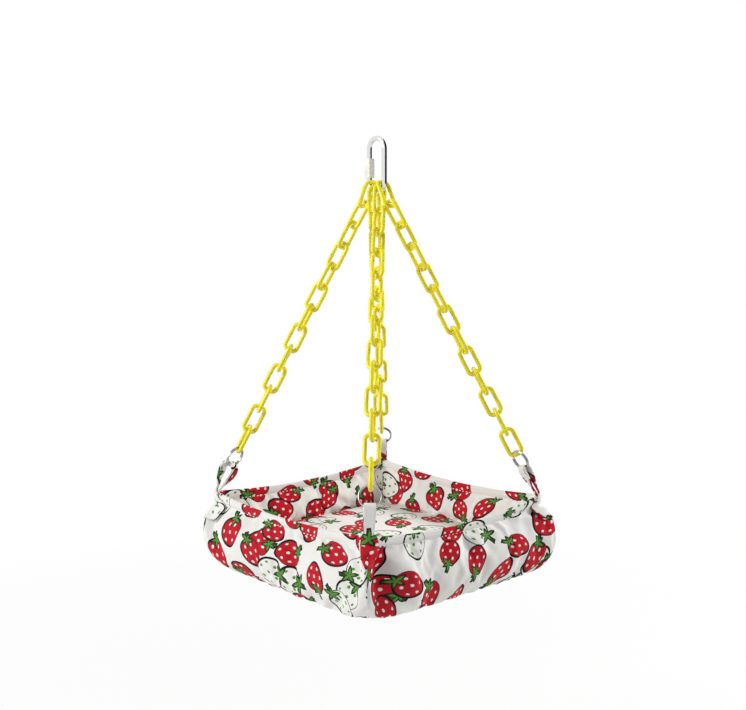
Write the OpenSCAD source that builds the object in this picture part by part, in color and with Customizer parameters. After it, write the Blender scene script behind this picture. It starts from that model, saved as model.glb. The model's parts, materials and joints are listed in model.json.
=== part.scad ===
// Hanging fabric bed for a small pet bird: a padded square tray slung from one quick link
// by four plastic chains, with a split ring and a sewn fabric loop at each corner.
// The origin is the inside of the quick link's upper bow, +Z is up, and the tray's walls
// lie along X and Y. All sizes are in millimetres.

/* [Quick link] */
// Wire diameter of the quick link
quick_wire = 3.5; // [3.3:0.1:4]
// Clear width inside the quick link
quick_inside = 11; // [10.8:0.1:13]
// Overall length of the quick link
quick_length = 38.75; // [37:0.25:46]
// Size of the screw sleeve across its flats
sleeve_flats = 6.6; // [6:0.1:7]
// Length of the screw sleeve
sleeve_length = 12.5; // [10:0.25:12.5]
// Turn of the sleeve's hexagon about its leg
sleeve_turn = 18; // [0:1:59]
// Gap in the leg that the sleeve closes
gate_gap = 4.2; // [3:0.1:4.2]

/* [Chain] */
// Wire diameter of a chain link
link_wire = 2.8; // [2.4:0.1:2.8]
// Overall width of a chain link
link_width = 11.6; // [11.4:0.1:13]
// Overall length of a chain link
link_length = 21.5; // [20:0.5:26]
// Links in each chain, the top one included
link_count = 13; // [7:2:17]

/* [Rings] */
// Outside diameter of a split ring
ring_outer = 15; // [14:0.5:20]
// Thickness of the ring's wire
ring_wire = 1.1; // [0.9:0.1:1.4]

/* [Loops] */
// Width of the folded fabric strap
strap_width = 7; // [5:0.5:7.5]
// Thickness of the folded fabric strap
strap_thick = 1.6; // [1.2:0.1:2]
// Height of a loop from the rim's corner to the ring's wire
loop_rise = 17.5; // [14:0.5:26]
// Share of the wall that the strap's sewn tail runs down
tail_share = 0.42; // [0.3:0.02:0.6]
// How much wider than the others the left loop stands open
left_open = 2.6; // [0:0.2:3]
// Turn of the left loop and its ring about the chain
left_turn = 30; // [0:5:60]
// Further turn of the left chain's last link in its ring
left_link_turn = 40; // [0:5:40]
// Turn of the right loop and its ring about the chain
right_turn = 35; // [0:5:40]

/* [Tray] */
// Distance between two rim corners along a wall
rim_span = 155; // [130:0.5:200]
// Height of the tray at its corners
tray_height = 51; // [44:1:70]
// How far the rim dips between two corners
rim_sag = 6; // [0:0.5:9]
// Depth from a rim corner to the floor's edge
tray_depth = 31; // [24:1:36]
// Height of the flat lip above the topstitching
lip_height = 6; // [4:0.5:8]
// How far a wall swells outwards
wall_out = 7.5; // [4:0.5:12]
// How far a wall swells inwards
wall_in = 4.5; // [2:0.5:7]
// How far the floor's edge lies inside the rim
wall_foot = 7; // [5:0.5:12]
// Rise of the floor cushion at its middle
floor_crown = 3; // [0:0.5:5]
// Depth of the gathers beside each corner
gather = 1; // [0:0.1:1.2]

/* [Cloth] */
// Thickness of the printed cotton with its interlining
cloth = 0.8; // [0.6:0.1:0.9]
// Clearance between the cloth and its padding
pad_gap = 0.3; // [0.25:0.05:0.4]

/* [Hidden] */
$fn = 64;

// Corners, seen from the front: front (+X -Y), right (+X +Y), back (-X +Y), left (-X -Y)
front = [1, -1];
right = [1, 1];
back = [-1, 1];
left = [-1, -1];

// Quick link: centres of its bows, and the leg that carries the sleeve
bow_r = (quick_inside + quick_wire) / 2;
bow_top = -quick_inside / 2;
bow_low = 2 * quick_wire - quick_length + quick_inside / 2;
sleeve_low = bow_low + 2.25;
gate_low = sleeve_low + 1.8;
gate_top = gate_low + gate_gap;
sleeve_bore = quick_wire + 0.16;

// Chain: the wire's centreline, and the step from link to link
half_w = (link_width - link_wire) / 2;
bend_r = 0.77 * half_w;
wire_len = link_length - link_wire;
link_play = 0.3;
pitch = wire_len - link_wire - link_play;

// Split ring: two coils side by side
ring_r = (ring_outer - ring_wire) / 2;
coil_step = 0.9 * ring_wire;
ring_half = (coil_step + ring_wire) / 2;
ring_seat = (link_wire + ring_wire) / 2 + 0.35;

// How the top links sit on the lower bow: the front and back chains ride inside the other
// two, each link a little round the bow, leaning out and offset along Y
function inner(c) = c[0] * c[1] < 0;
function ride(c) = inner(c) ? 27.15 : 80.46;
function lean_x(c) = inner(c) ? 11.68 : 32.18;
function lean_y(c) = inner(c) ? 12.98 : -6.54;
function shift_y(c) = inner(c) ? -1.1 : 1.27;
ride_r = quick_inside / 2 - link_wire / 2 - 0.15;
top_play = 0.7;

function unit(a) = a / norm(a);
function off_axis(a, d) = unit(a - (a * d) * d);
function top_at(c) = [
  c[0] * ride_r * sin(ride(c)),
  c[1] * shift_y(c),
  bow_low - ride_r * cos(ride(c))
];
function top_dir(c) = unit([c[0] * tan(lean_x(c)), c[1] * tan(lean_y(c)), -1]);
function top_across(c) = off_axis([0, 1, 0], top_dir(c));
function start(c) = top_at(c) + (wire_len - link_wire - top_play) * top_dir(c);

// Rim corner: the front chain's length decides how low the tray hangs
corner_xy = rim_span / 2;
chain_len = (link_count - 2) * pitch + wire_len - ring_seat + 2 * ring_r;
level = let(s = start(front), d = [corner_xy - s[0], -corner_xy - s[1]])
  s[2] - sqrt(pow(chain_len + loop_rise, 2) - d * d);
function corner(c) = [c[0] * corner_xy, c[1] * corner_xy, level];
function outwards(c) = unit([c[0], c[1], 0]);

// Direction of a chain, and the frame that its links turn in
function along(c) = unit(corner(c) - start(c));
function radial(c) = off_axis(outwards(c), along(c));
function tangent(c) = cross(along(c), radial(c));
function turn(c) = c == left ? left_turn : c == right ? -right_turn : 0;
function last_turn(c) = c == left ? left_turn + left_link_turn : 0;
function spin(c, t) = cos(t) * radial(c) + sin(t) * tangent(c);
function second(c) = unit(cross(along(c), off_axis(top_across(c), along(c))));
function second_angle(c) = atan2(second(c) * tangent(c), second(c) * radial(c));
function near_half(t) = t - 180 * round(t / 180);
function twist(c) = near_half(second_angle(c) - last_turn(c) - 90 * (link_count - 2));
function link_angle(c, i) =
  last_turn(c) + (link_count - i) * (90 + twist(c) / (link_count - 2));
function link_at(c, i) = start(c) + (i - 2) * pitch * along(c);
function ring_low(c) = start(c) + chain_len * along(c);
function rise(c) = norm(corner(c) - ring_low(c));

// Tray: half the rim, and the lip where cover and lining meet
lip_half = cloth + 0.2;
rim_n = 40;
wall_n = 14;
lining_n = 60;
rim_half = corner_xy * pow(2, 1 / rim_n);
foot = lip_half + wall_foot;
steps = 7;
cover_rows = 8;
lining_rows = 6;
inset = cloth + pad_gap;

// Plan of a row: a square with slightly rounded corners, on rays from the middle
function ray(i) = sin(90 * i / steps);
function plan(a, n) = [1, a] / pow(1 + pow(abs(a), n), 1 / n);
function turned(p, m) = m == 0 ? p : turned([-p[1], p[0]], m - 1);
function dip(a) = rim_sag * (1 - a * a);
function share(j, rows) = (1 - cos(180 * j / rows)) / 2;

// Cover, from rim to bottom edge to the middle of the underside: [reach, depth]
function cover_q(k) = k < 2 ? 0 : share(k - 1, cover_rows);
function cover_reach(k) = lip_half + wall_out * pow(sin(180 * cover_q(k)), 0.75);
function cover_row(k) =
  k == 0 ? [rim_half + lip_half, 0] :
  k <= cover_rows + 1
    ? [rim_half + cover_reach(k), lip_height + cover_q(k) * (tray_height - lip_height)]
    : [0.55 * rim_half, tray_height + 1.2];
cover_last = cover_rows + 2;

// Lining, from rim to the floor's edge to the middle of the floor
function lining_q(k) = k < 2 ? 0 : share(k - 1, lining_rows);
function lining_reach(k) =
  lip_half + wall_foot * lining_q(k) + wall_in * pow(sin(180 * lining_q(k)), 0.8);
function lining_row(k) =
  k == 0 ? [rim_half - lip_half, 0] :
  k <= lining_rows + 1
    ? [rim_half - lining_reach(k), lip_height + lining_q(k) * (tray_depth - lip_height)]
    : [0.6 * (rim_half - foot), tray_depth - 0.8 * floor_crown];
lining_last = lining_rows + 2;

// A row set back into the padding by the distance d, square to the profile
function square_to(t) = [t[1], -t[0]] / norm(t);
function cover_set(k, d) =
  k < 2 ? cover_row(k) - [d, 0] :
  k == cover_last ? cover_row(k) - [0, d] :
  cover_row(k) - d * square_to(cover_row(k + 1) - cover_row(k - 1));
function lining_set(k, d) =
  k < 2 ? lining_row(k) + [d, 0] :
  k == lining_last ? lining_row(k) + [0, d] :
  lining_row(k) + d * square_to(lining_row(k + 1) - lining_row(k - 1));
function cover_n(k) = k < 2 ? rim_n : wall_n;
function lining_n_at(k) = k < 2 ? rim_n : lining_n;

// Gathers: the cover swells and sinks by turns as it nears a corner
function fold(i, k) =
  k < 2 || k > cover_rows ? 0 :
  gather * cos(180 * (i - steps)) * pow(abs(i) / steps, 3) * sin(180 * cover_q(k));

// Reach of the cover at a corner, along the diagonal
function corner_reach(k) =
  sqrt(2) * (cover_row(k)[0] + fold(steps, k)) * plan(1, cover_n(k))[0];

// A point of a row on wall m: the rim's dip fades out towards the floor's edge
function fade(depth) = max(0, 1 - depth / (tray_depth - floor_crown));
function placed(row, n, i, m, more = 0) =
  let(p = turned((row[0] + more) * plan(ray(i), n), m))
  [p[0], p[1], level - row[1] - dip(ray(i)) * fade(row[1])];

// Points and faces of closed rings of rows
round_steps = 8 * steps;
function wall_of(s) = floor(s / (2 * steps));
function step_of(s) = s % (2 * steps) - steps;
function cover_ring(k, d) = [
  for (s = [0:round_steps - 1])
    placed(cover_set(k, d), cover_n(k), step_of(s), wall_of(s), fold(step_of(s), k))
];
function lining_ring(k, d) = [
  for (s = [0:round_steps - 1])
    placed(lining_set(k, d), lining_n_at(k), step_of(s), wall_of(s))
];
function band(first, second, flip) = [
  for (s = [0:round_steps - 1])
    let(t = (s + 1) % round_steps)
      each flip
        ? [[first + s, second + t, first + t], [first + s, second + s, second + t]]
        : [[first + s, first + t, second + t], [first + s, second + t, second + s]]
];
function fan(first, tip, flip) = [
  for (s = [0:round_steps - 1])
    let(t = (s + 1) % round_steps)
      flip ? [first + s, tip, first + t] : [first + s, first + t, tip]
];

// A closed skin from two stacks of rings that share the rim: the seen side, then the hidden
module skin(seen, hidden, seen_tip, hidden_tip, inside_out) {
  rows = len(seen);
  points = concat([for (r = seen) each r], [for (r = hidden) each r], [seen_tip, hidden_tip]);
  lower = rows * round_steps;
  faces = concat(
    [for (k = [0:rows - 2]) each band(k * round_steps, (k + 1) * round_steps, !inside_out)],
    [for (k = [0:rows - 2])
      each band(lower + k * round_steps, lower + (k + 1) * round_steps, inside_out)],
    band(0, lower, inside_out),
    fan((rows - 1) * round_steps, 2 * lower, !inside_out),
    fan(lower + (rows - 1) * round_steps, 2 * lower + 1, inside_out)
  );
  polyhedron(points, faces, convexity = 8);
}

// One chain link, its upper end at the origin and its length along +Y
module link() {
  for (x = [-1, 1]) {
    translate([x * half_w, bend_r, 0])
      rotate([-90, 0, 0])
        cylinder(d = link_wire, h = wire_len - 2 * bend_r);
  }
  for (y = [0, wire_len]) {
    translate([-(half_w - bend_r), y, 0])
      rotate([0, 90, 0])
        cylinder(d = link_wire, h = 2 * (half_w - bend_r));
  }
  for (q = [0:3]) {
    translate([
      (q == 0 || q == 3 ? 1 : -1) * (half_w - bend_r),
      q < 2 ? wire_len - bend_r : bend_r,
      0
    ])
      rotate([0, 0, 90 * q])
        rotate_extrude(angle = 90)
          translate([bend_r, 0])
            circle(d = link_wire);
  }
}

// Places its children with X across, Y along a direction and the origin at a point
module set_at(across, dir, at) {
  out = cross(across, dir);
  multmatrix([
    [across[0], dir[0], out[0], at[0]],
    [across[1], dir[1], out[1], at[1]],
    [across[2], dir[2], out[2], at[2]],
    [0, 0, 0, 1]
  ])
    children();
}

module top_link(c) {
  color("#f0df2e")
    set_at(top_across(c), top_dir(c), top_at(c))
      link();
}

module chain(c) {
  color("#f0df2e")
    for (i = [2:link_count])
      set_at(spin(c, link_angle(c, i)), along(c), link_at(c, i))
        link();
}

// Split ring: two coils with the parting of the wire's end cut in one of them
module ring(c) {
  color("#b9bbbd")
    set_at(spin(c, turn(c) + 90), along(c), ring_low(c) - ring_r * along(c))
      difference() {
        rotate_extrude() {
          translate([ring_r, coil_step / 2])
            circle(d = ring_wire);
          translate([ring_r, -coil_step / 2])
            circle(d = ring_wire);
        }
        rotate([0, 0, 20])
          translate([ring_r - ring_wire, -0.2, 0])
            cube([2 * ring_wire, 0.4, 2 * ring_wire]);
      }
}

// Loop: a strap folded over the ring's wire, its ends sewn together on the rim's corner and
// one of them run down outside the corner as a tail; the left one stands further open
module loop(c) {
  ring_dip = ring_r - sqrt(ring_r * ring_r - strap_width * strap_width / 4);
  fold_r = ring_half + 0.6 + (c == left ? left_open : 0);
  fold_at = rise(c) + ring_dip + ring_wire / 2 + 0.35 - fold_r;
  outer_r = fold_r + strap_thick;
  root = 2.6;
  tail_width = 0.75 * strap_width;
  tail_rows = [for (k = [0:cover_rows]) if (cover_row(k)[1] <= tail_share * tray_height) k];
  color("#f2efe8") {
    set_at(spin(c, turn(c)), -along(c), corner(c))
      translate([0, 0, -strap_width / 2])
        linear_extrude(strap_width)
          difference() {
            union() {
              translate([0, fold_at])
                circle(r = outer_r);
              polygon([
                [-strap_thick - 0.3, root],
                [strap_thick + 0.3, root],
                [outer_r, fold_at],
                [-outer_r, fold_at]
              ]);
            }
            translate([0, fold_at])
              circle(r = fold_r);
            polygon([[0, root + 4], [fold_r, fold_at], [-fold_r, fold_at]]);
          }
    at = norm([corner_xy, corner_xy]);
    inside = [for (k = tail_rows) [corner_reach(k) + 0.35, level - cover_row(k)[1]]];
    outside = [for (p = inside) p + [strap_thick, 0]];
    count = len(inside);
    set_at(outwards(c), [0, 0, 1], [0, 0, 0])
      translate([0, 0, -tail_width / 2])
        linear_extrude(tail_width)
          polygon(concat(
            [for (n = [0:count - 1]) outside[count - 1 - n]],
            [
              [at + 0.8, level + 6],
              [at - 3.6, level + 5],
              [at - 2.4, level + 0.4],
              [inside[0][0], level + 0.4]
            ],
            inside
          ));
  }
}

// Quick link: upper bow, plain leg, lower bow and the two stubs of the gated leg
module quick_link_body() {
  color("#c3c5c7")
    rotate([90, 0, 0]) {
      translate([0, bow_top])
        rotate_extrude(angle = 180)
          translate([bow_r, 0])
            circle(d = quick_wire);
      translate([0, bow_low])
        rotate([0, 0, 180])
          rotate_extrude(angle = 180)
            translate([bow_r, 0])
              circle(d = quick_wire);
      translate([bow_r, bow_low, 0])
        rotate([-90, 0, 0])
          cylinder(d = quick_wire, h = bow_top - bow_low);
      translate([-bow_r, gate_top, 0])
        rotate([-90, 0, 0])
          cylinder(d = quick_wire, h = bow_top - gate_top);
      translate([-bow_r, bow_low, 0])
        rotate([-90, 0, 0])
          cylinder(d = quick_wire, h = gate_low - bow_low);
    }
}

// Screw sleeve: a bored hexagon with turned ends
module quick_link_sleeve() {
  corner_d = sleeve_flats / cos(30);
  bevel = (corner_d - sleeve_flats) / 2;
  color("#d2d3d4")
    translate([-bow_r, 0, sleeve_low])
      difference() {
        intersection() {
          rotate(sleeve_turn)
            cylinder(d = corner_d, h = sleeve_length, $fn = 6);
          union() {
            cylinder(d1 = sleeve_flats, d2 = corner_d, h = bevel);
            translate([0, 0, bevel])
              cylinder(d = corner_d, h = sleeve_length - 2 * bevel);
            translate([0, 0, sleeve_length - bevel])
              cylinder(d1 = corner_d, d2 = sleeve_flats, h = bevel);
          }
        }
        translate([0, 0, -1])
          cylinder(d = sleeve_bore, h = sleeve_length + 2);
      }
}

// Outer cover: printed cotton from the rim down the walls and across the underside
module outer_cover() {
  low = level - tray_height - 1.6;
  color("#efece6")
    skin(
      [for (k = [0:cover_last]) cover_ring(k, 0)],
      [for (k = [0:cover_last]) cover_ring(k, cloth)],
      [0, 0, low],
      [0, 0, low + cloth],
      false
    );
}

// Lining: the same cotton inside, creased in the corners and sewn down round the floor
module lining() {
  top = level - tray_depth + floor_crown;
  color("#e9e5de")
    skin(
      [for (k = [0:lining_last]) lining_ring(k, 0)],
      [for (k = [0:lining_last]) lining_ring(k, cloth)],
      [0, 0, top],
      [0, 0, top - cloth],
      true
    );
}

// Floor pad: a square cushion, crowned on top and drawn in round its side
module floor_pad() {
  half = rim_half - foot;
  under = inset + 0.15;
  rings = [
    [0.6 * half, tray_depth - 0.8 * floor_crown + under],
    [half - 2.2, tray_depth + under + 0.1],
    [half - 0.7, (tray_depth + tray_height) / 2],
    [half - 2.2, tray_height - under],
    [0.55 * rim_half, tray_height + 1.2 - under]
  ];
  count = len(rings);
  points = concat(
    [for (r = rings) for (s = [0:round_steps - 1])
      let(p = turned(r[0] * plan(ray(step_of(s)), rim_n), wall_of(s))) [p[0], p[1], level - r[1]]],
    [[0, 0, level - tray_depth + floor_crown - under], [0, 0, level - tray_height - 1.6 + under]]
  );
  color("#f4f4f2")
    polyhedron(points, concat(
      [for (k = [0:count - 2]) each band(k * round_steps, (k + 1) * round_steps, true)],
      fan(0, count * round_steps, false),
      fan((count - 1) * round_steps, count * round_steps + 1, true)
    ), convexity = 4);
}

// Wall pad: batting between cover and lining along wall m, mitred at both corners
module wall_pad(m) {
  low = [rim_half - foot + 0.6, tray_height - inset - 0.15];
  rows = concat(
    [for (k = [2:cover_rows + 1]) [cover_set(k, inset), wall_n, k]],
    [[low, lining_n, 0]],
    [for (k = [0:lining_rows - 1]) [lining_set(lining_rows + 1 - k, inset), lining_n, 0]]
  );
  count = len(rows);
  last = steps - 1;
  stations = 2 * last + 1;
  points = [for (i = [-last:last]) for (r = rows) placed(r[0], r[1], i, m, fold(i, r[2]))];
  sides = [
    for (i = [0:stations - 2])
      for (k = [0:count - 1])
        let(a = i * count + k, b = i * count + (k + 1) % count)
          each [[a, a + count, b + count], [a, b + count, b]]
  ];
  caps = [[for (k = [0:count - 1]) k], [for (k = [0:count - 1]) stations * count - 1 - k]];
  color("#f4f4f2")
    polyhedron(points, concat(sides, caps), convexity = 6);
}

module top_link_front() { top_link(front); }
module top_link_right() { top_link(right); }
module top_link_back() { top_link(back); }
module top_link_left() { top_link(left); }
module chain_front() { chain(front); }
module chain_right() { chain(right); }
module chain_back() { chain(back); }
module chain_left() { chain(left); }
module ring_front() { ring(front); }
module ring_right() { ring(right); }
module ring_back() { ring(back); }
module ring_left() { ring(left); }
module loop_front() { loop(front); }
module loop_right() { loop(right); }
module loop_back() { loop(back); }
module loop_left() { loop(left); }
module wall_pad_east() { wall_pad(0); }
module wall_pad_north() { wall_pad(1); }
module wall_pad_west() { wall_pad(2); }
module wall_pad_south() { wall_pad(3); }

quick_link_body();
quick_link_sleeve();
top_link_front();
top_link_right();
top_link_back();
top_link_left();
chain_front();
chain_right();
chain_back();
chain_left();
ring_front();
ring_right();
ring_back();
ring_left();
loop_front();
loop_right();
loop_back();
loop_left();
outer_cover();
lining();
floor_pad();
wall_pad_east();
wall_pad_north();
wall_pad_west();
wall_pad_south();
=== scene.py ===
import json
import math

import bmesh
import bpy
import numpy as np
from mathutils import Matrix, Vector


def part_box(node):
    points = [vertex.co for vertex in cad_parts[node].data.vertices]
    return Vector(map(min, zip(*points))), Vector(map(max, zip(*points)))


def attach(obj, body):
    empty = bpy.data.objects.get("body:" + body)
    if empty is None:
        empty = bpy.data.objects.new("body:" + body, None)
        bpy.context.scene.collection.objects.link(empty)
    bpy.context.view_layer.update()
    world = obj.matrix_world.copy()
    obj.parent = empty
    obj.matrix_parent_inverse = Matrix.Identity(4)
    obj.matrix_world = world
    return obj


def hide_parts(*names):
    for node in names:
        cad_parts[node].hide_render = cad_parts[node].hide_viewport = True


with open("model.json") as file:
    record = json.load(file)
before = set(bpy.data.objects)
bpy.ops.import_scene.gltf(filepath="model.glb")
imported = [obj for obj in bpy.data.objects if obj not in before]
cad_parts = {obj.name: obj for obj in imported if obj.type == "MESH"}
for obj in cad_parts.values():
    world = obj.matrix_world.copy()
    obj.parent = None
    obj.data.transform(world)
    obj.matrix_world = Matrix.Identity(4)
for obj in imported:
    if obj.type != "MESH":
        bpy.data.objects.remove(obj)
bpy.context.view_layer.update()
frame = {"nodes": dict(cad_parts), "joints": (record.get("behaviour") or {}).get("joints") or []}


# Studio: the bed hangs clear of a pale floor, in front of a white sweep. One large soft lamp stands
# to its left, a little to the front, and another to its right, a little to the back. The camera
# looks at one corner of the tray from a little above the rim.
MM = 0.001
scene = bpy.context.scene
scene.view_settings.view_transform = "Standard"


def linear(code):
    parts = [int(code[i:i + 2], 16) / 255 for i in (1, 3, 5)]
    return (*[p / 12.92 if p <= 0.04045 else ((p + 0.055) / 1.055) ** 2.4 for p in parts], 1.0)


# Adds a node with its settings and inputs. A node given as an input is linked by its first output. A
# colour Mix node has its two colours on inputs 6 and 7 and its result on output 2.
def add(tree, kind, inputs=(), **settings):
    node = tree.nodes.new(kind)
    for name, value in settings.items():
        setattr(node, name, value)
    for socket, value in inputs.items() if isinstance(inputs, dict) else enumerate(inputs):
        if isinstance(value, bpy.types.Node):
            value = value.outputs[0]
        if isinstance(value, bpy.types.NodeSocket):
            tree.links.new(value, node.inputs[socket])
        else:
            node.inputs[socket].default_value = value
    return node


def new_material(name):
    made = bpy.data.materials.new(name)
    made.use_nodes = True
    made.node_tree.nodes.clear()
    return made, made.node_tree


# Camera: angles in degrees, and the focal length in pixels of a picture of this width
lens_azimuth, lens_elevation, lens_distance = 47.58, 7.08, 0.814
focal_pixels, picture_width, sensor_width = 1209.3, 746, 36
sight_level, sight_left = -142.1 * MM, 2.5 * MM


# A direction from the bed, in degrees to the right of the camera's own and above level
def towards(turn, rise):
    angle, height = math.radians(lens_azimuth + turn), math.radians(rise)
    return Vector((
        math.sin(angle) * math.cos(height), -math.cos(angle) * math.cos(height), math.sin(height)))


lens_back = towards(0, lens_elevation)
lens_target = Vector((0, 0, sight_level)) - sight_left * towards(90, 0)
camera = bpy.data.objects.new("camera", bpy.data.cameras.new("camera"))
camera.data.sensor_width = sensor_width
camera.data.lens = sensor_width * focal_pixels / picture_width
camera.location = lens_target + lens_distance * lens_back
camera.rotation_euler = lens_back.to_track_quat("Z", "Y").to_euler()
scene.collection.objects.link(camera)
scene.camera = camera

# White sweep: seen as plain white, and a fifth as bright where it only lights the bed
sweep_light = 0.22


def background_rays(tree):
    rays = add(tree, "ShaderNodeLightPath")
    seen = add(tree, "ShaderNodeMath", [rays.outputs["Is Camera Ray"], rays.outputs["Is Glossy Ray"]],
               operation="MAXIMUM")
    return add(tree, "ShaderNodeMath", [seen, rays.outputs["Is Transmission Ray"]], operation="MAXIMUM")


scene.world = bpy.data.worlds.new("white_sweep")
scene.world.use_nodes = True
tree = scene.world.node_tree
tree.nodes.clear()
shown = add(tree, "ShaderNodeMath", [background_rays(tree), 1 - sweep_light, sweep_light],
            operation="MULTIPLY_ADD")
sweep = add(tree, "ShaderNodeBackground", {"Color": (1, 1, 1, 1), "Strength": shown})
add(tree, "ShaderNodeOutputWorld", {"Surface": sweep})

# Lamps: each with its turn and rise in degrees and its power in watts. Only the key shows in gloss.
lamp_size, lamp_distance, lamp_aim = 0.7, 1.4, Vector((0, 0, -0.16))
for name, turn, rise, power in (("key", -68, 27, 14.5), ("fill", 106, 30, 18.5)):
    lamp = bpy.data.objects.new(name, bpy.data.lights.new(name, "AREA"))
    lamp.data.energy = power
    lamp.data.size = lamp_size
    lamp.location = lamp_aim + lamp_distance * towards(turn, rise)
    lamp.rotation_euler = towards(turn, rise).to_track_quat("Z", "Y").to_euler()
    lamp.visible_glossy = name == "key"
    scene.collection.objects.link(lamp)

# Matt white studio floor: a fifth of its own shade shows under the bed, which keeps the shadow, and
# it fades into the white of the sweep about a metre away
floor_level, floor_size = -0.5, 8
fade_start, fade_end, least_white = 0.2, 0.9, 0.8
bpy.ops.object.select_all(action="DESELECT")
bpy.ops.mesh.primitive_plane_add(size=floor_size, location=(0, 0, floor_level))
floor = bpy.context.object
floor.name = "studio_floor"
paint, tree = new_material("matt_white_floor_paint")
place = add(tree, "ShaderNodeTexCoord")
away = add(tree, "ShaderNodeVectorMath", [place.outputs["Object"]], operation="LENGTH")
faded = add(tree, "ShaderNodeMapRange",
            {"Value": away.outputs["Value"], "From Min": fade_start, "From Max": fade_end,
             "To Min": least_white, "To Max": 1.0})
part_white = add(tree, "ShaderNodeMath", [background_rays(tree), faded], operation="MULTIPLY")
matt = add(tree, "ShaderNodeBsdfDiffuse", {"Color": linear("#F4F4F2")})
glow = add(tree, "ShaderNodeEmission", {"Color": (1, 1, 1, 1), "Strength": 1.0})
mixed = add(tree, "ShaderNodeMixShader", [part_white, matt, glow])
add(tree, "ShaderNodeOutputMaterial", {"Surface": mixed})
floor.data.materials.append(paint)

# Dark flag: a wide black card to the right of the bed, seen only in gloss, as bright metal's dark edge
flag_size, flag_distance, flag_level = 3.6, 1.1055, 0.1
flag_towards = towards(86, 5.71)
bpy.ops.object.select_all(action="DESELECT")
bpy.ops.mesh.primitive_plane_add(
    size=flag_size, location=Vector((0, 0, flag_level)) + flag_distance * flag_towards,
    rotation=flag_towards.to_track_quat("Z", "Y").to_euler())
flag = bpy.context.object
flag.name = "dark_flag"
flag.visible_camera = flag.visible_diffuse = flag.visible_shadow = False
felt, tree = new_material("black_felt")
matt = add(tree, "ShaderNodeBsdfDiffuse", {"Color": linear("#161616")})
add(tree, "ShaderNodeOutputMaterial", {"Surface": matt})
flag.data.materials.append(felt)


# Quick link: a bow of round steel wire whose open leg is closed by a long hexagonal sleeve that
# screws along its thread. Both are bent or turned from mild steel and zinc plated.
patch_width, line_gap, line_length = 6.25 * MM, MM / 9, 3.85 * MM


# Plated steel: a clear shine on drawn wire, and a dull pale one on the turned sleeve, with slow cloudy
# patches 6 mm wide and faint drawing lines a ninth of a millimetre apart and 4 mm long
def plated_steel(name, code, rough, metallic):
    made, tree = new_material(name)
    place = add(tree, "ShaderNodeTexCoord")
    patches = add(tree, "ShaderNodeTexNoise",
                  {"Vector": place.outputs["Object"], "Scale": 1 / patch_width, "Detail": 2.0})
    lines = add(tree, "ShaderNodeMapping",
                {"Vector": place.outputs["Object"], "Scale": (1 / line_gap, 1 / line_gap, 1 / line_length)})
    drawn = add(tree, "ShaderNodeTexNoise", {"Vector": lines, "Scale": 1.0, "Detail": 2.0})
    shade = add(tree, "ShaderNodeMapRange",
                {"Value": patches, "From Min": 0.3, "From Max": 0.7, "To Min": rough - 0.03,
                 "To Max": rough + 0.04})
    tone = add(tree, "ShaderNodeMix",
               {"Factor": patches, 6: linear(code), 7: linear("#D3D4D5")}, data_type="RGBA")
    relief = add(tree, "ShaderNodeBump", {"Height": drawn, "Strength": 0.05, "Distance": 0.05 * MM})
    metal = add(tree, "ShaderNodeBsdfPrincipled",
                {"Base Color": tone.outputs[2], "Metallic": metallic, "Roughness": shade,
                 "Normal": relief})
    add(tree, "ShaderNodeOutputMaterial", {"Surface": metal})
    return made


for node, finish in (
    ("quick_link_body", plated_steel("zinc_plated_steel_wire", "#EDEDEB", 0.1, 1.0)),
    ("quick_link_sleeve", plated_steel("dull_zinc_plated_turned_steel", "#FFFAEA", 0.5, 0.12)),
):
    frame["nodes"][node].data.materials.clear()
    frame["nodes"][node].data.materials.append(finish)


# Chains: thirteen moulded links each, all alike. The mould parts in the plane of the link and
# leaves a fine ridge there, and each link has a nick where it was snapped open to join the next.
# A link's length and width are measured along the middle of its wire.
corner_names = ("front", "right", "back", "left")
link_wire, link_half_width, link_length = 2.8 * MM, 4.4 * MM, 18.7 * MM
link_bend = 0.77 * link_half_width
link_steps, link_sides = 32, 16
mould_ridge = 0.05 * MM
nick_cuts, nick_half, nick_waist = (-0.55, -0.18, 0.18, 0.55), 0.3 * MM, 0.86
leg_reach = 6.5 * MM

# Moulded polypropylene: bright yellow through and through, with a soft gloss, slow waves of 9 mm
# from the cooling mould and a grain of 3 mm in the gloss
wave_length, grain_width = 9.091 * MM, 3.333 * MM
yellow, tree = new_material("moulded_yellow_polypropylene")
place = add(tree, "ShaderNodeTexCoord")
waves = add(tree, "ShaderNodeTexNoise",
            {"Vector": place.outputs["Object"], "Scale": 1 / wave_length, "Detail": 0.5})
grain = add(tree, "ShaderNodeTexNoise",
            {"Vector": place.outputs["Object"], "Scale": 1 / grain_width, "Detail": 2.0})
tone = add(tree, "ShaderNodeMix",
           {"Factor": waves, 6: linear("#FDF236"), 7: linear("#F6E82A")}, data_type="RGBA")
rough = add(tree, "ShaderNodeMapRange", {"Value": grain, "To Min": 0.24, "To Max": 0.34})
dent = add(tree, "ShaderNodeBump", {"Height": waves, "Strength": 0.06, "Distance": 0.25 * MM})
plastic = add(tree, "ShaderNodeBsdfPrincipled",
              {"Base Color": tone.outputs[2], "Roughness": rough, "Normal": dent, "IOR": 1.49})
add(tree, "ShaderNodeOutputMaterial", {"Surface": plastic})


# Selects the vertices or faces, in edit mode, whose place passes the test
def pick(piece, kind, test):
    shape = bmesh.from_edit_mesh(piece.data)
    for item in [*shape.faces, *shape.edges, *shape.verts]:
        item.select_set(False)
    for item in getattr(shape, kind):
        where = item.co if kind == "verts" else item.calc_center_median()
        if test(where):
            item.select_set(True)
    bmesh.update_edit_mesh(piece.data)


def face_outwards():
    bpy.ops.object.mode_set(mode="EDIT")
    bpy.ops.mesh.select_all(action="SELECT")
    bpy.ops.mesh.normals_make_consistent(inside=False)
    bpy.ops.object.mode_set(mode="OBJECT")


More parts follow.
